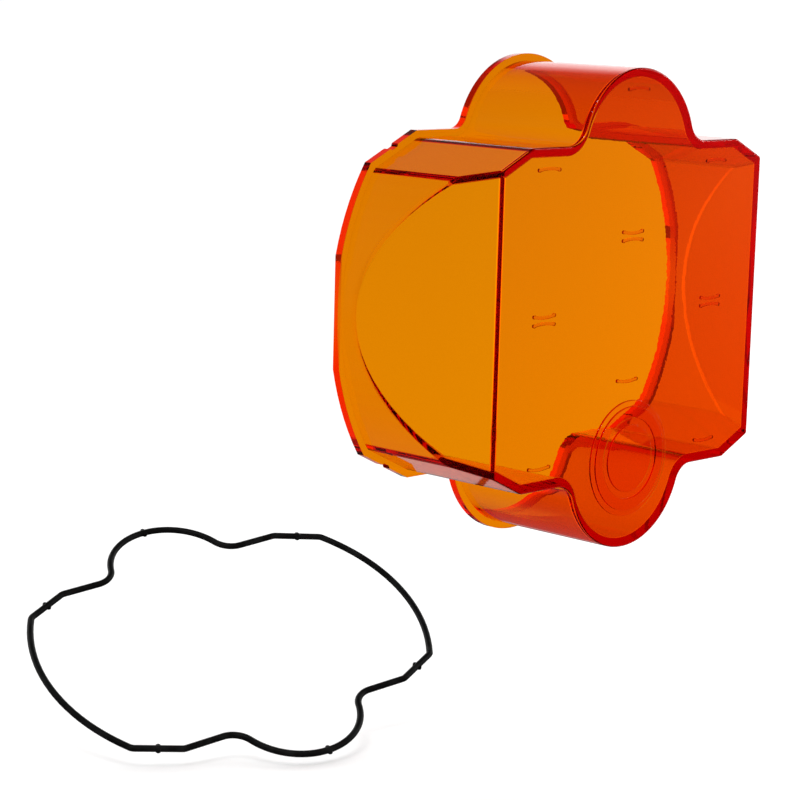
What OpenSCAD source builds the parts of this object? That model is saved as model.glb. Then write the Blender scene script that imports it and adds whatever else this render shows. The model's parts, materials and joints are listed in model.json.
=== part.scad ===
// Amber snap-on cover for a round-sided work lamp, with its separate rubber seal.
// The lamp's face looks along -Y, X is to the right and Z is up. The flat back of the
// cover's flange lies at y = 0, centred on the origin. The seal is laid out below and
// behind the cover, and swings about one line in space onto its seat behind the flange.

/* [Outline] */
// Radius of the two round sides, centred on the middle of the cover
side_r = 88; // [84:0.5:96]
// Half height of the cover at its straight top and bottom edges
edge_h = 57; // [50:0.5:62]
// Half length of the straight top and bottom edges, up to the sloping corners
corner_x = 54; // [46:0.5:60]
// Slope of the corners below level, in degrees
corner_slope = 25.6; // [20:0.2:32]
// Radius of the round lobes at the top and the bottom
lobe_r = 29.8; // [24:0.1:34]
// Height of the lobes' centres above and below the middle
lobe_h = 52.5; // [48:0.5:58]
// Radius of the hollow blends between the lobes and the straight edges
blend_r = 8; // [4:0.5:12]

/* [Shell] */
// Depth from the flange's back to the front face
depth = 55.2; // [35:0.2:72]
// Thickness of the shell
wall = 3; // [2.2:0.1:3.5]
// Half width of the flat front face
front_x = 68.1; // [60:0.1:76]
// Angle of the side facets from the depth direction, in degrees
facet_angle = 23; // [16:0.5:30]

/* [Flange] */
// How far the flange stands out past the shell
flange_lip = 2.5; // [1.5:0.1:5]
// Thickness of the flange
flange_t = 3; // [2:0.1:5]
// How far the flange's two sides are cut back to flats
flat_cut = 2; // [0.5:0.1:2.4]
// Width of the small notches in the flange's rim, at their mouth
notch_w = 4; // [3:0.1:8]
// Depth of the notches
notch_d = 0.8; // [0.4:0.1:1.4]

/* [Front face] */
// Distance between neighbouring lamp lenses behind the cover
lens_pitch = 51; // [44:0.5:54]
// Radius of the circle that each pair of alignment ticks lies on
tick_r = 24.5; // [20:0.1:25]
// Half angle that one tick covers
tick_angle = 11.5; // [6:0.5:16]
// Width of a tick
tick_w = 1; // [0.8:0.1:1.6]
// Radius of the round dot at each end of a tick
tick_dot = 0.65; // [0.6:0.05:1.2]
// Height of a tick above the inner face
tick_t = 0.8; // [0.3:0.1:1.2]
// Radius of the plain raised pad on the lower part of the front face
pad_r = 20.2; // [14:0.2:22]
// Height of the pad above the front face
pad_t = 1.2; // [0.6:0.1:2]
// Width of the low step around the pad's top
pad_step = 2; // [1:0.1:4]
// Distance from the edge of the pad's top in to the plain ring sunk into it
ring_in = 4; // [3:0.2:6]
// Width of the sunk ring
ring_w = 2.5; // [1:0.1:3]

/* [Seal] */
// Diameter of the seal's cord
cord_d = 2.8; // [2:0.1:3.6]
// How far the cord's centre line runs inside the shell's outline
seal_inset = 2; // [1.5:0.1:2.4]
// Inside radius of the cord's bends, to its centre line
bend_r = 4; // [3:0.5:8]
// Gap between the seated cord and the flange
seat_gap = 0.1; // [0.05:0.05:0.5]
// Width of the six small locating tabs that cross the cord
tab_w = 2.2; // [1.4:0.1:3]
// How far the tabs reach to each side of the cord's centre line
tab_reach = 2.1; // [1.8:0.1:2.4]
// Thickness of the tabs
tab_t = 1.8; // [1:0.1:2.4]

/* [Laid-out place of the seal] */
// Angle that the seal has swung away from its seat
swing = 69.5; // [0:0.5:80]
// Tilt of the swing's line from level, in the flange's plane
swing_tilt = 13; // [0:0.5:30]
// Distance from the middle of the cover down to the swing's line
swing_drop = 225; // [180:1:280]
// Distance of the swing's line in front of the flange's back
swing_front = 31.5; // [20:0.5:50]

/* [Hidden] */
$fn = 96;
cut = 1;            // how far a cutting tool runs past what it cuts
far = 400;          // longer than any part of the cover
cord_sides = 12;    // flat sides round the cord
cord_sag = 0.05;    // how far the swept cord's straight steps may cut inside a bend
seal_y = cord_d / 2 + seat_gap;

// The straight edge ends further out as the outline grows, so that every edge stays parallel
function corner_at(grow) = corner_x + grow * (1 - cos(corner_slope)) / sin(corner_slope);
function rot2(p, a) = [p.x * cos(a) - p.y * sin(a), p.x * sin(a) + p.y * cos(a)];

// Centre of the hollow blend, which touches the straight edge and the lobe
blend_z = edge_h + blend_r;
blend_x = sqrt(pow(lobe_r + blend_r, 2) - pow(blend_z - lobe_h, 2));
blend_turn = atan2(blend_z - lobe_h, blend_x);

// Direction down along a sloping corner
corner_down = [cos(corner_slope), -sin(corner_slope)];

// Distance along a line of the slope's direction, from p to the circle of radius r
function reach(p, r) = -p * corner_down + sqrt(pow(p * corner_down, 2) - p * p + r * r);

// Where the sloping corner meets the round side, for an outline grown by grow
function corner_start(grow) = [corner_at(grow), edge_h + grow];
function corner_end(grow) =
    corner_start(grow) + reach(corner_start(grow), side_r + grow) * corner_down;
function corner_mid(grow) = (corner_start(grow) + corner_end(grow)) / 2;

module both_ways() {
    for (sx = [0, 1], sz = [0, 1])
        mirror([sx, 0, 0]) mirror([0, sz, 0]) children();
}

// Octagon with two straight edges, four sloping corners and open sides
module cornered(grow) {
    side = side_r + grow + cut;
    corner = corner_start(grow);
    low = corner + (side - corner.x) / corner_down.x * corner_down;
    right = [corner, low, [low.x, -low.y], [corner.x, -corner.y]];
    left = [for (p = right) -p];
    polygon(concat(right, left));
}

// Flat outline of the shell, grown or shrunk by an equal distance all round
module outline(grow) {
    intersection() {
        circle(side_r + grow, $fn = 180);
        cornered(grow);
    }
    for (s = [1, -1]) translate([0, s * lobe_h]) circle(lobe_r + grow);
    both_ways() difference() {
        polygon([[0, 0], [0, lobe_h], [blend_x, blend_z], [blend_x, 0]]);
        translate([blend_x, blend_z]) circle(blend_r - grow);
    }
}

// Turns a flat drawing to stand in the XZ plane, thick from y = 0 towards -Y
module upright(thick) {
    rotate([90, 0, 0]) linear_extrude(thick) children();
}

// Space outside the two side facets, moved inwards by inset
module beyond_facets(inset) {
    for (s = [0, 1]) mirror([s, 0, 0])
        translate([front_x, -depth, 0]) rotate([0, 0, -facet_angle])
            translate([-inset, -far / 2, -far / 2]) cube(far);
}

module shell() {
    difference() {
        upright(depth) outline(0);
        beyond_facets(0);
    }
}

module cavity() {
    difference() {
        translate([0, cut, 0]) upright(depth - wall + cut) outline(-wall);
        beyond_facets(wall);
    }
}

// Notch with sides sloping at 45 degrees, at the origin of a rim that runs along X
module notch() {
    mouth = notch_w / 2 + cut;
    foot = notch_w / 2 - notch_d;
    polygon([[-foot, -notch_d], [foot, -notch_d], [mouth, cut], [-mouth, cut]]);
}

// Notches at the middle of each sloping corner
module notches() {
    both_ways() translate(corner_mid(flange_lip)) rotate(-corner_slope) notch();
}

module flange() {
    upright(flange_t) difference() {
        intersection() {
            outline(flange_lip);
            square([2 * (side_r + flange_lip - flat_cut), far], center = true);
        }
        notches();
    }
}

// One curved tick with a round dot at each end, at the top of a circle of radius tick_r
module tick() {
    slice = 2 * tick_r;
    intersection() {
        difference() {
            circle(tick_r + tick_w / 2);
            circle(tick_r - tick_w / 2);
        }
        polygon([[0, 0], rot2([0, slice], tick_angle), rot2([0, slice], -tick_angle)]);
    }
    for (a = [-tick_angle, tick_angle]) translate(rot2([0, tick_r], a)) circle(tick_dot, $fn = 24);
}

// A pair of ticks for each of the six lamp lenses that the pad leaves clear
module ticks() {
    ring = [for (a = [90 : 60 : 390]) if (a != 270) lens_pitch * [cos(a), sin(a)]];
    translate([0, -depth + wall + tick_t, 0]) upright(2 * tick_t)
        for (p = concat([[0, 0]], ring), s = [0, 180]) translate(p) rotate(s) tick();
}

module pad() {
    top = pad_r - pad_step;
    ring = top - ring_in;
    translate([0, -depth, -lens_pitch]) difference() {
        union() {
            upright(pad_t / 2) circle(pad_r);
            upright(pad_t) circle(top);
        }
        translate([0, -pad_t / 2, 0]) upright(pad_t) difference() {
            circle(ring);
            circle(ring - ring_w);
        }
    }
}

module amber_lens() {
    color([0.95, 0.42, 0.02, 0.75]) {
        difference() {
            union() {
                shell();
                flange();
                pad();
            }
            cavity();
        }
        ticks();
    }
}

// Seal: a round cord along the outline, shrunk by seal_inset
seal_side = side_r - seal_inset;
seal_lobe = lobe_r - seal_inset;
seal_blend = blend_r + seal_inset;
// Centre of the bend at each end of the sloping corner
bend_1 = [corner_at(-seal_inset - bend_r), edge_h - seal_inset - bend_r];
bend_2 = bend_1 + reach(bend_1, seal_side - bend_r) * corner_down;
side_turn = atan2(bend_2.y, bend_2.x);

// Stations along the cord: each is [place, outward direction] in the flat drawing
function along_arc(centre, r, a, b, side = 1) =
    let (steps = ceil(abs(b - a) / (2 * acos(1 - cord_sag / r))))
    [for (i = [0 : steps]) let (t = a + (b - a) * i / steps, out = [cos(t), sin(t)])
        [centre + r * out, side * out]];
function mirrored(stations, m) =
    [for (s = stations) [for (v = s) [m.x * v.x, m.y * v.y]]];
// The stations in reverse, without the last one and without any before the one named first
function back_to(stations, first) = [for (i = [len(stations) - 2 : -1 : first]) stations[i]];

// A quarter of the seal, from the top of a lobe to the middle of a round side
quarter = concat(
    along_arc([0, lobe_h], seal_lobe, 90, blend_turn),
    along_arc([blend_x, blend_z], seal_blend, 180 + blend_turn, 270, -1),
    along_arc(bend_1, bend_r, 90, 90 - corner_slope),
    along_arc(bend_2, bend_r, 90 - corner_slope, side_turn),
    along_arc([0, 0], seal_side, side_turn, 0));
right_half = concat(quarter, back_to(mirrored(quarter, [1, -1]), 0));
loop = concat(right_half, back_to(mirrored(right_half, [-1, 1]), 1));

module tab() {
    end = tab_reach - tab_w / 2;
    translate([0, tab_t / 2, 0]) upright(tab_t) {
        square([tab_w, 2 * end], center = true);
        for (z = [-end, end]) translate([0, z]) circle(tab_w / 2, $fn = 32);
    }
}

// Round cord swept through the stations and closed on itself
module cord_loop(stations) {
    n = len(stations);
    turn = 360 / cord_sides;
    points = [for (s = stations, k = [0 : cord_sides - 1])
        let (out = cord_d / 2 * cos(k * turn), back = cord_d / 2 * sin(k * turn))
        [s[0].x + out * s[1].x, back, s[0].y + out * s[1].y]];
    faces = [for (i = [0 : n - 1], k = [0 : cord_sides - 1])
        let (j = (i + 1) % n, l = (k + 1) % cord_sides)
        [i * cord_sides + k, i * cord_sides + l, j * cord_sides + l, j * cord_sides + k]];
    polyhedron(points, faces);
}

module seated_seal() {
    cord_loop(loop);
    mid = corner_mid(-seal_inset);
    for (s = [0, 1]) mirror([0, 0, s]) {
        translate([0, 0, lobe_h + seal_lobe]) tab();
        for (t = [0, 1]) mirror([t, 0, 0])
            translate([mid.x, 0, mid.y]) rotate([0, corner_slope, 0]) tab();
    }
}

// Line that the seal swings about: level but for its tilt, below and in front of the cover
swing_axis = [cos(swing_tilt), 0, sin(swing_tilt)];
swing_point = [swing_drop * sin(swing_tilt), -swing_front, -swing_drop * cos(swing_tilt)];

module gasket() {
    color([0.06, 0.06, 0.06])
        translate(swing_point) rotate(a = -swing, v = swing_axis) translate(-swing_point)
            translate([0, seal_y, 0]) seated_seal();
}

amber_lens();
gasket();
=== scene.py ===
# %% [markdown]
# # An amber lamp cover and its rubber seal
# The object has two moulded pieces: a clear amber cover with a flanged open back, and a
# loose black seal that lies on the flange when the cover is fitted. The CAD model already
# fixes every size and place. Here each piece is drawn again with the small rounds, mould
# marks and material depth that make clear plastic and rubber look real.

# %% Load the frame
import json
import math
import bmesh
import bpy
from mathutils import Matrix, Vector


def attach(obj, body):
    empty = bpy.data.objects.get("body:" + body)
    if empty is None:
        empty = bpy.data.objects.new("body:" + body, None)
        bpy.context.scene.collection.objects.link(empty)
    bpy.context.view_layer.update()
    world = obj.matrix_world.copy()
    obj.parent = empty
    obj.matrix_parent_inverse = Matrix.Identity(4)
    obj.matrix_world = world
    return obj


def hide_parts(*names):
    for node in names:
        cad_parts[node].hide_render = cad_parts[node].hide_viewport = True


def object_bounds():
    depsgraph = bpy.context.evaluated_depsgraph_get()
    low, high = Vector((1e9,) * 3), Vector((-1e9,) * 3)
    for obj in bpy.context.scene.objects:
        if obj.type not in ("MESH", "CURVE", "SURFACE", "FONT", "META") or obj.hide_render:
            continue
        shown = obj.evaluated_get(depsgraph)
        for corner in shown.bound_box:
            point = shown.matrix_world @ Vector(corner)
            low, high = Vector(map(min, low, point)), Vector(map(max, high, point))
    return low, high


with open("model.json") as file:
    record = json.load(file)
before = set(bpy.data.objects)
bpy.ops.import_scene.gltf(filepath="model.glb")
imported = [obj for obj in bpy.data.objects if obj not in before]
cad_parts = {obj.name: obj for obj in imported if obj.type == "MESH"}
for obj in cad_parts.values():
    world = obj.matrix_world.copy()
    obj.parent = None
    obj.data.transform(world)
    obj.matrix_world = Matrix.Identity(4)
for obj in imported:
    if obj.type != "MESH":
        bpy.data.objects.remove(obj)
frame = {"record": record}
cad_low, cad_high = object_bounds()
scene = bpy.context.scene
MM = 0.001
print("CAD box in mm:", [round(v / MM, 1) for v in (*cad_low, *cad_high)])

# %% [markdown]
# ## The camera
# The two pieces lie within a third of a metre. A short lens held close would make the near
# edges look too large, so the camera stands almost a metre away with a long lens, which keeps
# parallel edges nearly parallel. Its heading is counted from +Y towards +X, its dip is how
# far it looks down, and its roll is a slight lean of the tripod head.

# %% Camera
LENS_MM, SENSOR_MM = 113.3, 36.0
CLIP_END = 200.0
CAMERA_PLACE = Vector((-0.664, -0.5928, 0.1135))
HEADING, DIP, ROLL = 45.72, 9.77, 1.58


def aim(heading, dip, roll):
    """The turn of a camera that looks along a heading, dips below level and leans."""
    level = Matrix.Rotation(math.radians(-heading), 3, "Z")
    tilt = Matrix.Rotation(math.radians(90 - dip), 3, "X")
    lean = Matrix.Rotation(math.radians(roll), 3, "Z")
    return (level @ tilt @ lean).to_euler()


camera_data = bpy.data.cameras.new("camera")
camera_data.lens = LENS_MM
camera_data.sensor_width = SENSOR_MM
camera_data.clip_end = CLIP_END
camera = bpy.data.objects.new("camera", camera_data)
camera.location = CAMERA_PLACE
camera.rotation_euler = aim(HEADING, DIP, ROLL)
scene.collection.objects.link(camera)
scene.camera = camera
print("camera stands", round(CAMERA_PLACE.length, 3), "m from the cover's middle")

# %% [markdown]
# ## Shader expressions
# Each finish varies a little over its surface, and those variations are sums on noise. Node
# graphs could be wired one node at a time, but they read best as arithmetic. This small class
# holds one output socket and adds a Math node for each operator, so that `1 - mask * 0.5` is
# written as it is thought. Colours never pass through Math nodes, which would turn them grey:
# they go through `mix`.


# %% Shader expressions
class Term:
    """One output socket of a material, with arithmetic on values."""

    def __init__(self, tree, socket):
        self.tree = tree
        self.socket = socket

    def node(self, kind, settings=None, **inputs):
        """Adds any node: its settings first, then values or links for its sockets."""
        made = self.tree.nodes.new(kind)
        for name, value in (settings or {}).items():
            if name == "ramp":
                fill_ramp(made.color_ramp, value)
            else:
                setattr(made, name, value)
        for name, value in inputs.items():
            label = name.replace("_", " ")
            socket = made.inputs[int(name[1:])] if name[1:].isdigit() else made.inputs[label]
            if isinstance(value, Term):
                self.tree.links.new(value.socket, socket)
            else:
                socket.default_value = value
        return made

    def out(self, made, name=0):
        return Term(self.tree, made.outputs[name])

    def feed(self, socket):
        """Links this value to a socket of a shader."""
        self.tree.links.new(self.socket, socket)

    def math(self, operation, a, b):
        return self.out(self.node("ShaderNodeMath", {"operation": operation}, i0=a, i1=b))

    def __add__(self, other):
        return self.math("ADD", self, other)

    def __radd__(self, other):
        return self.math("ADD", other, self)

    def __sub__(self, other):
        return self.math("SUBTRACT", self, other)

    def __rsub__(self, other):
        return self.math("SUBTRACT", other, self)

    def __mul__(self, other):
        return self.math("MULTIPLY", self, other)

    def __rmul__(self, other):
        return self.math("MULTIPLY", other, self)

    def __truediv__(self, other):
        return self.math("DIVIDE", self, other)

    def at_least(self, low):
        return self.math("MAXIMUM", self, low)

    def at_most(self, high):
        return self.math("MINIMUM", self, high)

    def mix(self, low, high):
        """A colour that runs from low to high as this value goes from 0 to 1."""
        made = self.node("ShaderNodeMix", {"data_type": "RGBA"}, i0=self, i6=low, i7=high)
        return self.out(made, 2)


print("a term adds, subtracts, multiplies, divides and mixes")

# %% [markdown]
# ## Ramps, noise and new materials
# Every finish here starts from the same things: a Principled shader, the place on the piece,
# and noise that depends on that place. Noise is measured on the piece itself and not on an
# unwrapped sheet, so it needs no seams and has the same grain all over.


# %% Ramps, noise and new materials
def grey(level):
    return (level, level, level, 1.0)


def fill_ramp(ramp, stops):
    """Sets a ramp's stops from a list of (place, grey level)."""
    ramp.elements.remove(ramp.elements[1])
    for number, (place, level) in enumerate(stops):
        element = ramp.elements.new(place) if number else ramp.elements[0]
        element.position = place
        element.color = grey(level)


def new_material(name):
    """A material with a Principled shader; returns it, the shader and the place on the piece."""
    material = bpy.data.materials.new(name)
    material.use_nodes = True
    tree = material.node_tree
    shader = tree.nodes["Principled BSDF"]
    place = tree.nodes.new("ShaderNodeTexCoord")
    return material, shader, Term(tree, place.outputs["Object"])


def noise(place, scale, detail):
    """Cloudy noise from 0 to 1, with so many clouds to the metre."""
    return place.out(place.node("ShaderNodeTexNoise", Vector=place, Scale=scale, Detail=detail))


def wrinkle(place, height, depth, shader):
    """Tilts the shader's surface as if it rose and fell by depth, in metres."""
    bump = place.node("ShaderNodeBump", Height=height, Strength=1.0, Distance=depth)
    place.out(bump).feed(shader.inputs["Normal"])


def dress(piece, material):
    """Gives the piece this material and no other."""
    piece.data.materials.clear()
    piece.data.materials.append(material)


BLACK, WHITE = grey(0.0), grey(1.0)
print("black is", BLACK, "and white is", WHITE)

# %% [markdown]
# ## The cover's outline
# Seen from the front, the cover is a circle cut by two straight edges, with sloping corners,
# and a round lobe above and below. A hollow blend joins each lobe to its straight edge. It
# could be drawn once and scaled, but a scaled wall isn't even. One function draws the outline
# at any distance outside or inside the shell's own instead, so that the shell, its cavity and
# its flange always run parallel. The front is at -Y, and the flange's back at y = 0. Sizes
# are in millimetres and angles in degrees.

# %% Arcs and corners
SIDE_R, EDGE_H, CORNER_X, SLOPE = 88.0, 57.0, 54.0, 25.6
ARC_STEP = 3.0
SLOPE_DIR = Vector((math.cos(math.radians(SLOPE)), -math.sin(math.radians(SLOPE))))


def arc(centre, radius, start, end, step=ARC_STEP):
    """Points along an arc, angles in degrees, both ends included."""
    count = max(1, math.ceil(abs(end - start) / step))
    angles = [math.radians(start + (end - start) * i / count) for i in range(count + 1)]
    return [Vector(centre) + radius * Vector((math.cos(a), math.sin(a))) for a in angles]


def full_circle(centre, radius, step):
    return arc(centre, radius, 0, 360 - step, step)


def along_slope(point, radius):
    """Where a line from point, down the corner's slope, meets a circle about the middle."""
    dot = point.dot(SLOPE_DIR)
    return point + (math.sqrt(dot * dot - point.length_squared + radius ** 2) - dot) * SLOPE_DIR


def corner_start(grow):
    """Where the straight edge turns into the sloping corner."""
    return Vector((CORNER_X + grow * math.tan(math.radians(SLOPE / 2)), EDGE_H + grow))


print("sloping corner:", round((along_slope(corner_start(0), SIDE_R) - corner_start(0)).length, 1), "mm")

# %% Outline
LOBE_R, LOBE_H, BLEND_R = 29.8, 52.5, 8.0
BLEND_Z = EDGE_H + BLEND_R
BLEND_X = math.sqrt((LOBE_R + BLEND_R) ** 2 - (BLEND_Z - LOBE_H) ** 2)
BLEND_TURN = math.degrees(math.atan2(BLEND_Z - LOBE_H, BLEND_X))


def mirrored_loop(quarter):
    """Joins four mirrored copies of the quarter from the top middle to the right middle."""
    right = quarter + [Vector((p.x, -p.y)) for p in reversed(quarter[:-1])]
    return right + [Vector((-p.x, p.y)) for p in reversed(right[1:-1])]


def outline(grow, flat=None):
    """The closed outline, moved outwards by grow; flat cuts the round sides straight."""
    corner = corner_start(grow)
    end = along_slope(corner, SIDE_R + grow)
    quarter = arc((0, LOBE_H), LOBE_R + grow, 90, BLEND_TURN)
    quarter += arc((BLEND_X, BLEND_Z), BLEND_R - grow, 180 + BLEND_TURN, 270, 2 * ARC_STEP)[1:]
    quarter.append(corner)
    side = math.degrees(math.atan2(end.y, end.x))
    turn = math.degrees(math.acos(flat / (SIDE_R + grow))) if flat else 0.0
    quarter += arc((0, 0), SIDE_R + grow, side, turn)
    if flat:
        quarter.append(Vector((flat, 0)))
    return mirrored_loop(quarter)


print("outline has", len(outline(0)), "points, lobe blend at x =", round(BLEND_X, 2))

# %% [markdown]
# ## Solids from the outline
# The real cover is moulded in one shot, so it is one closed skin. It could be drawn as a
# surface with a thickness added, but then the flange, ticks and pad would only touch it. It
# is made from blanks instead, as a die maker would think of it: prisms on the outline that
# are joined or taken out of each other. Blender's exact boolean makes one closed skin of
# them, which clear plastic needs: light must meet each face once and no hidden face inside.


# %% Blanks
def to_space(p, y):
    """A point of the outline, in mm, stood up in the frame at depth y."""
    return Vector((p.x, y, p.y)) * MM


def add_prism(bm, points, front, back):
    """A closed prism on a flat outline, between y = front and y = back."""
    near = [bm.verts.new(to_space(p, front)) for p in points]
    far = [bm.verts.new(to_space(p, back)) for p in points]
    bm.faces.new(near)
    bm.faces.new(list(reversed(far)))
    for i in range(len(points)):
        j = (i + 1) % len(points)
        bm.faces.new((near[j], near[i], far[i], far[j]))


def finished(bm, name):
    """Turns a bmesh into an object in the scene, its faces looking outwards."""
    bmesh.ops.recalc_face_normals(bm, faces=bm.faces)
    mesh = bpy.data.meshes.new(name)
    bm.to_mesh(mesh)
    bm.free()
    made = bpy.data.objects.new(name, mesh)
    scene.collection.objects.link(made)
    return made


def prism(name, points, front, back):
    bm = bmesh.new()
    add_prism(bm, points, front, back)
    return finished(bm, name)


print("a prism on the outline has", len(outline(0)) + 2, "faces")


# %% Cutting and joining
def applied(piece):
    """Replaces the piece's mesh by the one that its modifiers make, and drops them."""
    graph = bpy.context.evaluated_depsgraph_get()
    mesh = bpy.data.meshes.new_from_object(piece.evaluated_get(graph))
    piece.modifiers.clear()
    piece.data = mesh


def combine(piece, tool, operation):
    """Unites the piece with the tool, or cuts the tool away, and removes the tool."""
    boolean = piece.modifiers.new(operation, "BOOLEAN")
    boolean.operation = operation
    boolean.solver = "EXACT"
    boolean.object = tool
    applied(piece)
    bpy.data.objects.remove(tool)


def report(title, piece):
    """Prints the piece's size, and how many edges don't have exactly two faces."""
    bm = bmesh.new()
    bm.from_mesh(piece.data)
    gaps = sum(1 for e in bm.edges if len(e.link_faces) != 2)
    bm.free()
    print(title, len(piece.data.vertices), "points,", gaps, "open edges")


print("blanks are joined by the exact boolean")

# %% [markdown]
# ## Rounded edges
# No moulded edge is knife sharp. The shell's outer edges have rounds of almost a millimetre,
# which draw the bright and dark lines along the plastic, and every other edge has a smaller
# one. A round could be faked in the shading, but clear plastic bends the light behind it, so
# the rounds are real. The bevel takes only edges that really turn, and its steps are fine
# enough that the next bevel leaves them alone.

# %% Round edges
FRONT_ROUND, EDGE_ROUND, SMALL_ROUND = 0.9, 0.4, 0.2
RIM_ANGLE = 30


def round_edges(piece, width, segments=8, angle=15):
    """Rounds every edge that turns by more than the given angle, in degrees."""
    bevel = piece.modifiers.new("rounds", "BEVEL")
    bevel.limit_method = "ANGLE"
    bevel.angle_limit = math.radians(angle)
    bevel.width = width * MM
    bevel.segments = segments
    bevel.use_clamp_overlap = True
    applied(piece)


def round_rim(piece, width, segments=2):
    """Rounds the two rims of a small prism, and leaves its round sides as they are."""
    round_edges(piece, width, segments, RIM_ANGLE)


print("rounds in mm:", FRONT_ROUND, EDGE_ROUND, SMALL_ROUND)

# %% [markdown]
# ## The shell
# Two facets plane off the shell's round sides towards the front, so that the front is a flat
# plate. The same block, a wall's thickness smaller all round, is the cavity. The facets could
# be part of the outline, but they lean, so they are cut from the prism by a plane.

# %% Shell
DEPTH, WALL = 55.2, 3.0
FRONT_X, FACET_ANGLE = 68.1, 23.0


def plane_facets(bm, inset):
    """Planes off the two sides, the given distance inside the outer facets."""
    turn = math.radians(FACET_ANGLE)
    for side in (1, -1):
        out = Vector((side * math.cos(turn), -math.sin(turn), 0))
        corner = Vector((side * FRONT_X, -DEPTH, 0)) * MM - out * inset * MM
        everything = bm.verts[:] + bm.edges[:] + bm.faces[:]
        cut = bmesh.ops.bisect_plane(bm, geom=everything, plane_co=corner, plane_no=out,
                                     clear_outer=True)
        edges = [e for e in cut["geom_cut"] if isinstance(e, bmesh.types.BMEdge)]
        bmesh.ops.contextual_create(bm, geom=edges)


def block(name, grow, front, back, inset):
    """A prism on the outline, with its two facets."""
    bm = bmesh.new()
    add_prism(bm, outline(grow), front, back)
    plane_facets(bm, inset)
    return finished(bm, name)


cover = block("amber_cover", 0.0, -DEPTH, 0.0, 0.0)
round_edges(cover, FRONT_ROUND)
report("shell:", cover)

# %% [markdown]
# ## The flange
# The housing and a screwed-down bezel clamp the cover by a thin flange round its open back.
# Its sides are cut to flats, and small notches at the corners locate it. The notches could be
# drawn into the outline, but each is the same wedge, so one tool cuts all four. A tool runs
# on a little past what it cuts, so that it leaves no thin skin.

# %% Flange
FLANGE_LIP, FLANGE_T, FLAT_CUT = 2.5, 3.0, 2.0
NOTCH_W, NOTCH_D = 4.0, 0.8
CUT = 1.0


def laid_at(shape, point, out):
    """Moves a small shape to a point of the outline, its second axis pointing out."""
    along = Vector((out.y, -out.x))
    return [point + p[0] * along + p[1] * out for p in shape]


def notch_tool(point, out):
    """A small wedge across the rim, as deep as a notch, its sides sloping at 45 degrees."""
    mouth = NOTCH_W / 2 + CUT
    foot = NOTCH_W / 2 - NOTCH_D
    shape = [(-foot, -NOTCH_D), (foot, -NOTCH_D), (mouth, CUT), (-mouth, CUT)]
    return prism("notch_tool", laid_at(shape, point, out), -FLANGE_T - CUT, CUT)


def corner_middles(grow):
    """The middle of each sloping corner of an outline, with its outward direction."""
    start = corner_start(grow)
    middle = (start + along_slope(start, SIDE_R + grow)) / 2
    out = Vector((-SLOPE_DIR.y, SLOPE_DIR.x))
    ways = [Vector((x, y)) for x in (1, -1) for y in (1, -1)]
    return [(middle * way, out * way) for way in ways]


rim = outline(FLANGE_LIP, SIDE_R + FLANGE_LIP - FLAT_CUT)
flange = prism("flange_blank", rim, -FLANGE_T, 0)
for point, out in corner_middles(FLANGE_LIP):
    combine(flange, notch_tool(point, out), "DIFFERENCE")
combine(cover, flange, "UNION")
report("shell with its flange:", cover)

# %% [markdown]
# ## The cavity and the last rounds
# The hollow is rounded before it is cut out, so its inside corners get a hollow round. What
# the cut leaves sharp, such as the flange's rim and the mouth, gets its round afterwards: at
# that point only those edges still turn sharply.

# %% Cavity and last rounds
hollow = block("cavity", -WALL, WALL - DEPTH, CUT, WALL)
round_edges(hollow, EDGE_ROUND)
combine(cover, hollow, "DIFFERENCE")
round_edges(cover, EDGE_ROUND, 3)
report("rounded cover:", cover)

# %% [markdown]
# ## Ticks
# Pairs of short curved ticks with a dot at each end stand on the inside of the front, one
# pair round each lamp lens behind the cover. They could be drawn on the surface as lines, but
# they are seen as bent light, so they are solids joined to the skin.

# %% Ticks
LENS_PITCH, TICK_R, TICK_ANGLE = 51.0, 24.5, 11.5
TICK_W, TICK_DOT, TICK_T = 1.0, 0.65, 0.8
BAR_STEP, DOT_STEP = 2, 15


def tick_shapes(centre, flip):
    """A curved bar and its two end dots, at the top or the bottom of a circle about centre."""
    low, high = 90 - TICK_ANGLE, 90 + TICK_ANGLE
    bar = arc((0, 0), TICK_R + TICK_W / 2, high, low, BAR_STEP)
    bar += arc((0, 0), TICK_R - TICK_W / 2, low, high, BAR_STEP)
    shapes = [bar]
    for angle in (-TICK_ANGLE, TICK_ANGLE):
        spin = Matrix.Rotation(math.radians(angle), 2)
        dot = full_circle((0, 0), TICK_DOT, DOT_STEP)
        shapes.append([spin @ (Vector((0, TICK_R)) + p) for p in dot])
    return [[centre + flip * p for p in shape] for shape in shapes]


def add_ticks(piece):
    """A pair of ticks about each lens that the pad leaves clear; returns how many."""
    inner = WALL - DEPTH
    # Six lenses stand round the middle one, and the pad covers the lowest
    turns = [math.radians(a) for a in range(90, 391, 60) if a != 270]
    ring = [LENS_PITCH * Vector((math.cos(a), math.sin(a))) for a in turns]
    pairs = [(centre, flip) for centre in [Vector((0, 0))] + ring for flip in (1, -1)]
    for centre, flip in pairs:
        for shape in tick_shapes(centre, flip):
            tick = prism("tick", shape, inner - TICK_T, inner + TICK_T)
            round_rim(tick, SMALL_ROUND)
            combine(piece, tick, "UNION")
    return len(pairs)


tick_count = add_ticks(cover)
report(f"cover with {tick_count} ticks:", cover)

# %% [markdown]
# ## The pad
# Low on the outside of the front is a plain round pad with a stepped edge and a sunk ring. It
# could be turned as one profile, but stacked discs are simpler, and they join the skin in the
# same way as the ticks do.

# %% Pad
PAD_R, PAD_T, PAD_STEP = 20.2, 1.2, 2.0
RING_IN, RING_W = 4.0, 2.5


def disc(radius, front, back):
    """A round blank on the pad's centre, with rounded edges, its depth from the front face."""
    circle = full_circle((0, -LENS_PITCH), radius, ARC_STEP)
    made = prism("disc", circle, front - DEPTH, back - DEPTH)
    round_rim(made, SMALL_ROUND)
    return made


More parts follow.
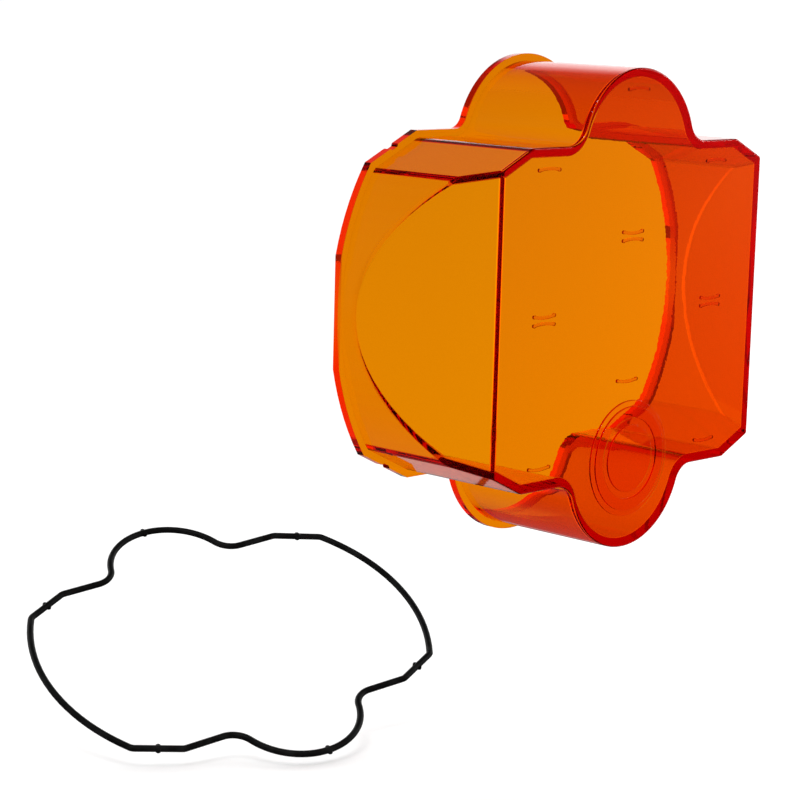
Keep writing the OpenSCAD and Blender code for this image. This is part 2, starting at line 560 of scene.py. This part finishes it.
def add_pad(piece):
    """Two stacked discs, with a plain ring sunk into the upper one."""
    top = PAD_R - PAD_STEP
    ring = top - RING_IN
    combine(piece, disc(PAD_R, -PAD_T / 2, CUT), "UNION")
    combine(piece, disc(top, -PAD_T, CUT), "UNION")
    combine(piece, disc(ring, -2 * PAD_T, -PAD_T / 2), "DIFFERENCE")
    combine(piece, disc(ring - RING_W, -PAD_T, CUT), "UNION")


add_pad(cover)
report("cover with its pad:", cover)

# %% [markdown]
# ## Even shading
# The mould is polished, so the large faces are flat to the eye and only the rounds catch the
# light in a curve. Smooth shading alone would bend the flat faces near their rounds. Weighted
# normals let the largest face decide, which keeps flat faces flat.

# %% Even shading
COVER_SHARP, SEAL_SHARP = 35, 40
FACE_WEIGHT = 80


def shade_evenly(piece, angle):
    """Smooth across the rounds, and flat on the large faces."""
    mesh = piece.data
    mesh.polygons.foreach_set("use_smooth", [True] * len(mesh.polygons))
    mesh.set_sharp_from_angle(angle=math.radians(angle))
    weighted = piece.modifiers.new("even", "WEIGHTED_NORMAL")
    weighted.keep_sharp = True
    weighted.weight = FACE_WEIGHT
    applied(piece)


shade_evenly(cover, COVER_SHARP)
print("edges under", COVER_SHARP, "degrees are smooth on the cover")

# %% [markdown]
# ## Amber plastic
# The colour of clear plastic is in its depth, not on its skin. One wall, 3 mm thick, passes
# orange light; two walls pass a deeper orange; and a wall seen along its length is dark red.
# A tinted skin would give every wall the same colour. Volume Absorption gives all three from
# one setting. The skin itself has only what a mould and a hand leave: faint flow waves, a
# finer texture, and smudges that dull the shine a little.

# %% Amber plastic
AMBER_COLOUR = (0.9977, 0.865, 0.0, 1.0)
AMBER_DENSITY = 3000.0
AMBER_IOR = 1.586
SKIN_TINT = (0.9, 0.95, 1.0, 1.0)
SHINE_TINT = grey(0.3)
FLOW_SCALE, PEEL_SCALE, SMUDGE_SCALE = 90.0, 1100.0, 30.0
FLOW_SHARE, PEEL_SHARE = 0.9, 0.1
FLOW_HEIGHT = 0.02 * MM
SMUDGE_START, SMUDGE_ROUGHNESS = 0.5, 0.12


def make_amber():
    """Clear amber plastic, with faint flow waves, mould texture and handling smudges."""
    material, shader, place = new_material("amber_plastic")
    shader.inputs["Base Color"].default_value = SKIN_TINT
    shader.inputs["Transmission Weight"].default_value = 1.0
    shader.inputs["IOR"].default_value = AMBER_IOR
    shader.inputs["Specular Tint"].default_value = SHINE_TINT
    flow = noise(place, FLOW_SCALE, detail=1.0)
    peel = noise(place, PEEL_SCALE, detail=0.0)
    wrinkle(place, FLOW_SHARE * flow + PEEL_SHARE * peel, FLOW_HEIGHT, shader)
    smudge = noise(place, SMUDGE_SCALE, detail=4.0)
    roughness = (smudge - SMUDGE_START).at_least(0.0) * SMUDGE_ROUGHNESS
    roughness.feed(shader.inputs["Roughness"])
    depth = place.node("ShaderNodeVolumeAbsorption", Color=AMBER_COLOUR, Density=AMBER_DENSITY)
    place.out(depth).feed(place.tree.nodes["Material Output"].inputs["Volume"])
    return material


dress(cover, make_amber())
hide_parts("amber_lens")
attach(cover, "lens")
print("cover wears", cover.data.materials[0].name)

# %% [markdown]
# ## The seal
# The seal is a round rubber cord moulded as a closed loop. It follows the cover's outline, a
# little inside it, with small bends at the corners. A curve with a round bevel could draw it,
# but its mould leaves a fine ridge where the two halves meet, and that ridge must stay on the
# inside and the outside all the way round. So the section is swept by hand: each station has
# a place and the direction that points out of the loop.

# %% Stations along the seal
CORD_D, SEAL_INSET, BEND_R, SEAT_GAP = 2.8, 2.0, 4.0, 0.1
BLEND_STEP, BEND_STEP = 5, 6


def stations(centre, radius, start, end, side=1, step=ARC_STEP):
    """Places along an arc, each with the direction that points out of the loop."""
    centre = Vector(centre)
    return [(p, side * (p - centre).normalized()) for p in arc(centre, radius, start, end, step)]


def flipped(station, x, y):
    """A station mirrored left to right, top to bottom, or both."""
    way = Vector((x, y))
    return station[0] * way, station[1] * way


def seal_stations():
    """Places along the seal's centre line, all the way round."""
    side_r = SIDE_R - SEAL_INSET
    first = corner_start(-SEAL_INSET - BEND_R)
    second = along_slope(first, side_r - BEND_R)
    side = math.degrees(math.atan2(second.y, second.x))
    turn = 180 + BLEND_TURN
    quarter = stations((0, LOBE_H), LOBE_R - SEAL_INSET, 90, BLEND_TURN)
    quarter += stations((BLEND_X, BLEND_Z), BLEND_R + SEAL_INSET, turn, 270, -1, BLEND_STEP)
    quarter += stations(first, BEND_R, 90, 90 - SLOPE, step=BEND_STEP)
    quarter += stations(second, BEND_R, 90 - SLOPE, side, step=BEND_STEP)
    quarter += stations((0, 0), side_r, side, 0)
    right = quarter + [flipped(s, 1, -1) for s in reversed(quarter[:-1])]
    return right + [flipped(s, -1, 1) for s in reversed(right[1:-1])]


print(len(seal_stations()), "stations along the seal")

# %% Cord
PARTING_RIDGE = 0.07
RIDGE_HALF, SIDE_STEP = 6, 14


def cord_section():
    """Angle and radius round the cord: a circle, with a fine ridge where the mould parts."""
    section = []
    side = range(RIDGE_HALF, 181 - RIDGE_HALF, SIDE_STEP)
    for ridge in (0, 180):
        section.append((ridge, CORD_D / 2 + PARTING_RIDGE))
        section += [(ridge + a, CORD_D / 2) for a in side]
    return [(math.radians(a), r) for a, r in section]


def cord_loop():
    """The cord's section swept through the stations and closed on itself."""
    bm = bmesh.new()
    section = cord_section()
    rings = []
    for place, out in seal_stations():
        ring = [bm.verts.new(to_space(place + out * r * math.cos(a), r * math.sin(a)))
                for a, r in section]
        rings.append(ring)
    for i, ring in enumerate(rings):
        other = rings[(i + 1) % len(rings)]
        for k in range(len(section)):
            m = (k + 1) % len(section)
            bm.faces.new((ring[k], ring[m], other[m], other[k]))
    return finished(bm, "rubber_seal")


seal = cord_loop()
report("cord:", seal)

# %% [markdown]
# ## The seal's tabs
# Six small bars cross the cord, one at each corner and one on each lobe, and locate it on its
# seat. They could be pushed into the cord and left there, but the real ones are moulded with
# it, so they are united with it into one skin.

# %% Tabs
TAB_W, TAB_REACH, TAB_T, TAB_ROUND = 2.2, 2.1, 1.8, 0.3
TAB_STEP = 10


def tab(point, out):
    """A small rounded bar that crosses the cord."""
    end = TAB_REACH - TAB_W / 2
    shape = arc((0, end), TAB_W / 2, 180, 0, TAB_STEP)
    shape += arc((0, -end), TAB_W / 2, 0, -180, TAB_STEP)
    made = prism("tab", laid_at(shape, point, out), -TAB_T / 2, TAB_T / 2)
    round_rim(made, TAB_ROUND, 3)
    return made


lobe_top = LOBE_H + LOBE_R - SEAL_INSET
lobe_tops = [(Vector((0, s * lobe_top)), Vector((0, s))) for s in (1, -1)]
for point, out in corner_middles(-SEAL_INSET) + lobe_tops:
    combine(seal, tab(point, out), "UNION")
shade_evenly(seal, SEAL_SHARP)
report("seal with its tabs:", seal)

# %% [markdown]
# ## Where the seal lies
# The seal is loose and lies below and behind the cover. It could be drawn there at once, but
# then its shape and its place would be mixed up. It is drawn on its seat first, and then
# turned to where it lies, about the line that the frame's record gives.

# %% Lay the seal down
hinge = frame["record"]["behaviour"]["joints"][0]
pivot = Vector(hinge["pos_m"])
swing = Matrix.Rotation(-math.radians(hinge["range_deg"][1]), 4, Vector(hinge["axis"]))
lift = Matrix.Translation((0, (CORD_D / 2 + SEAT_GAP) * MM, 0))
seal.data.transform(Matrix.Translation(pivot) @ swing @ Matrix.Translation(-pivot) @ lift)
print("the seal has swung", hinge["range_deg"][1], "degrees from its seat")

# %% [markdown]
# ## Black rubber
# Moulded rubber is black and satin, with a fine grain, and dust settles on it and makes it a
# little lighter and duller. A plain dark grey would look like paint. One cloudy noise is the
# dust, and drives colour and shine together; a much finer one is the grain.

# %% Black rubber
DUST_SCALE, GRAIN_SCALE = 160.0, 3500.0
DUST_START, DUST_GAIN, DUST_ROUGHNESS = 0.45, 3.0, 0.25
CLEAN_RUBBER, DUSTY_RUBBER = grey(0.0025), grey(0.01)
RUBBER_ROUGHNESS, RUBBER_SHINE = 0.42, 0.12
GRAIN_HEIGHT = 0.012 * MM


def make_rubber():
    """Black rubber: satin, with a fine moulded grain and a little dust."""
    material, shader, place = new_material("black_rubber")
    dust = (noise(place, DUST_SCALE, detail=5.0) - DUST_START).at_least(0.0) * DUST_GAIN
    dust.mix(CLEAN_RUBBER, DUSTY_RUBBER).feed(shader.inputs["Base Color"])
    roughness = dust * DUST_ROUGHNESS + RUBBER_ROUGHNESS
    roughness.feed(shader.inputs["Roughness"])
    wrinkle(place, noise(place, GRAIN_SCALE, detail=2.0), GRAIN_HEIGHT, shader)
    shader.inputs["Specular IOR Level"].default_value = RUBBER_SHINE
    return material


dress(seal, make_rubber())
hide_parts("gasket")
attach(seal, "seal")
print("seal wears", seal.data.materials[0].name)

# %% [markdown]
# ## The floor
# Clear plastic shows what stands behind it, so the setting is a wide, pale floor. It could be
# plain white, but real amber plastic holds back more light than one absorption colour can
# say. So the floor is dimmer where it is seen through plastic, most of all close by. It also
# glows more and more to the right, in a fan that spreads from the point below the camera's
# place. Both are set for the main view. The fan is fixed to the floor, so it stays where it
# is when the cover is seen from another side, and the cover then looks brighter than it is.
# The floor isn't mirrored in the plastic, which keeps the cover's dark edges dark.

# %% Floor
FLOOR_SIZE, FLOOR_DROP = 120.0, 0.004
FLOOR_WHITE, FLOOR_ROUGHNESS = grey(0.93), 0.9
NEAR, FAR = -0.5, 1.5
THROUGH_NEAR, THROUGH_FAR = 0.3, 0.8
GLOW_WIDTH, GLOW_LEVEL, GLOW_END, GLOW_FROM = 0.142, 0.25, 1.5, 0.1
AWAY = Vector((math.sin(math.radians(HEADING)), math.cos(math.radians(HEADING)), 0))
ACROSS = Vector((AWAY.y, -AWAY.x, 0))
FAN_FOOT = Vector((CAMERA_PLACE.x, CAMERA_PLACE.y, 0))


def vector_math(place, operation, other, output):
    """A vector operation on a place and a fixed vector; 0 is a vector's output, 1 a number's."""
    made = place.node("ShaderNodeVectorMath", {"operation": operation}, i0=place, i1=other)
    return place.out(made, output)


def light_path(place, name):
    """1 for a ray of the named kind, and 0 for any other."""
    return place.out(place.tree.nodes.new("ShaderNodeLightPath"), name)


def make_floor():
    """White, dimmer behind plastic, with a glow that grows towards the right."""
    material, shader, place = new_material("pale_floor")
    through = light_path(place, "Is Transmission Ray")
    shader.inputs["Roughness"].default_value = FLOOR_ROUGHNESS
    shader.inputs["Specular IOR Level"].default_value = 0.0
    moved = vector_math(place, "SUBTRACT", FAN_FOOT, 0)
    aside = vector_math(moved, "DOT_PRODUCT", ACROSS, 1)
    ahead = vector_math(moved, "DOT_PRODUCT", AWAY, 1)
    level = place.out(place.node("ShaderNodeMapRange", i0=ahead, i1=NEAR, i2=FAR,
                                 i3=THROUGH_NEAR, i4=THROUGH_FAR))
    white = (1.0 - through * (1.0 - level)).mix(BLACK, FLOOR_WHITE)
    white.feed(shader.inputs["Base Color"])
    fan = (aside.at_least(0.0) / (ahead.at_least(GLOW_FROM) * GLOW_WIDTH)).at_most(GLOW_END)
    glow = (fan * fan * GLOW_LEVEL).mix(BLACK, WHITE)
    glow.feed(shader.inputs["Emission Color"])
    shader.inputs["Emission Strength"].default_value = 1.0
    return material


bpy.ops.mesh.primitive_plane_add(size=FLOOR_SIZE, location=(0, 0, cad_low.z - FLOOR_DROP))
floor = bpy.context.object
floor.name = "floor"
floor.data.materials.append(make_floor())
floor.visible_glossy = False
print("floor at", round(floor.location.z / MM, 1), "mm")

# %% [markdown]
# ## The sky
# The cover stands in a bright white room. White mirrored everywhere would wash out the amber,
# so what the plastic mirrors is set apart from what lights it. A ramp grades the mirrored
# light by height: bright from level up to about 25 degrees, with one faint band below for the
# underside, and only on the side that the main camera faces. What is seen through the plastic
# is dimmer than white, as it is on the floor.

# %% Sky
SKY_STRENGTH = 2.18
MIRROR_GAIN = 1.6
MIRRORED_BY_HEIGHT = [(-1.0, 0.05), (-0.5, 0.06), (-0.43, 0.26), (-0.36, 0.06), (-0.18, 0.03),
                      (-0.06, 0.56), (0.0, 0.62), (0.2, 0.8), (0.42, 0.8), (0.6, 0.07), (0.7, 0.02)]
BEHIND_START, BEHIND_END, BEHIND_LOW = 0.1, 0.45, 0.05
SEEN_START, SEEN_END, SEEN_LOW, SEEN_HIGH = 0.1, 0.6, 0.35, 0.8


def mirrored_level(direction, away):
    """How bright the sky is in a mirror: by height, and mostly ahead of the main camera."""
    behind = direction.node("ShaderNodeMapRange", {"interpolation_type": "SMOOTHSTEP"}, i0=away,
                            i1=BEHIND_START, i2=BEHIND_END, i3=BEHIND_LOW, i4=1.0)
    height = direction.out(direction.node("ShaderNodeSeparateXYZ", i0=direction), 2)
    stops = [(h / 2 + 0.5, level) for h, level in MIRRORED_BY_HEIGHT]
    by_height = direction.node("ShaderNodeValToRGB", {"ramp": stops}, Fac=height * 0.5 + 0.5)
    return direction.out(behind) * direction.out(by_height) * MIRROR_GAIN


def studio_sky():
    """White where it is seen or lights things; where it is mirrored, bright only low behind."""
    world = bpy.data.worlds.new("studio")
    world.use_nodes = True
    tree = world.node_tree
    direction = Term(tree, tree.nodes.new("ShaderNodeTexCoord").outputs["Generated"])
    away = vector_math(direction, "DOT_PRODUCT", AWAY, 1)
    mirrored = mirrored_level(direction, away)
    seen = direction.out(direction.node("ShaderNodeMapRange", i0=away, i1=SEEN_START, i2=SEEN_END,
                                        i3=SEEN_LOW, i4=SEEN_HIGH))
    glossy = light_path(direction, "Is Glossy Ray")
    through = light_path(direction, "Is Transmission Ray")
    level = 1.0 + through * (seen - 1.0) + glossy * (1.0 - through) * (mirrored - 1.0)
    background = tree.nodes["Background"]
    (level * 0.5).mix(BLACK, WHITE).feed(background.inputs["Color"])
    background.inputs["Strength"].default_value = SKY_STRENGTH
    return world


scene.view_settings.view_transform = "Standard"
scene.world = studio_sky()
print("sky strength", SKY_STRENGTH, "with", len(MIRRORED_BY_HEIGHT), "heights in its mirror image")

# %% [markdown]
# ## Lamps
# The room's own light has no direction, and rubber under it looks flat. Two soft boxes, a
# square one above on the left and a tall one on the right, give the cord its highlight and
# the plastic its bright lines. Small hard lamps would burn spots into both.


# %% Lamps
def softbox(name, place, size, watts):
    """A rectangular area light that looks at the cover."""
    data = bpy.data.lights.new(name, "AREA")
    data.shape = "RECTANGLE"
    data.size, data.size_y = size
    data.energy = watts
    light = bpy.data.objects.new(name, data)
    light.location = place
    light.rotation_euler = (-Vector(place)).to_track_quat("-Z", "Y").to_euler()
    scene.collection.objects.link(light)
    print(name, "lamp:", watts, "W")


softbox("key", (-1.0, -0.5, 1.8), (0.7, 0.7), 10)
softbox("fill", (2.4, -1.2, 1.2), (0.3, 1.6), 5)

# %% [markdown]
# ## Light paths
# Light runs far along the inside of clear walls before it leaves them. With few bounces it is
# lost on the way and every rim turns black, so the limits are high.

# %% Light paths
BOUNCES = 64
scene.cycles.max_bounces = BOUNCES
scene.cycles.glossy_bounces = BOUNCES
scene.cycles.transmission_bounces = BOUNCES
print("light may bounce", BOUNCES, "times")
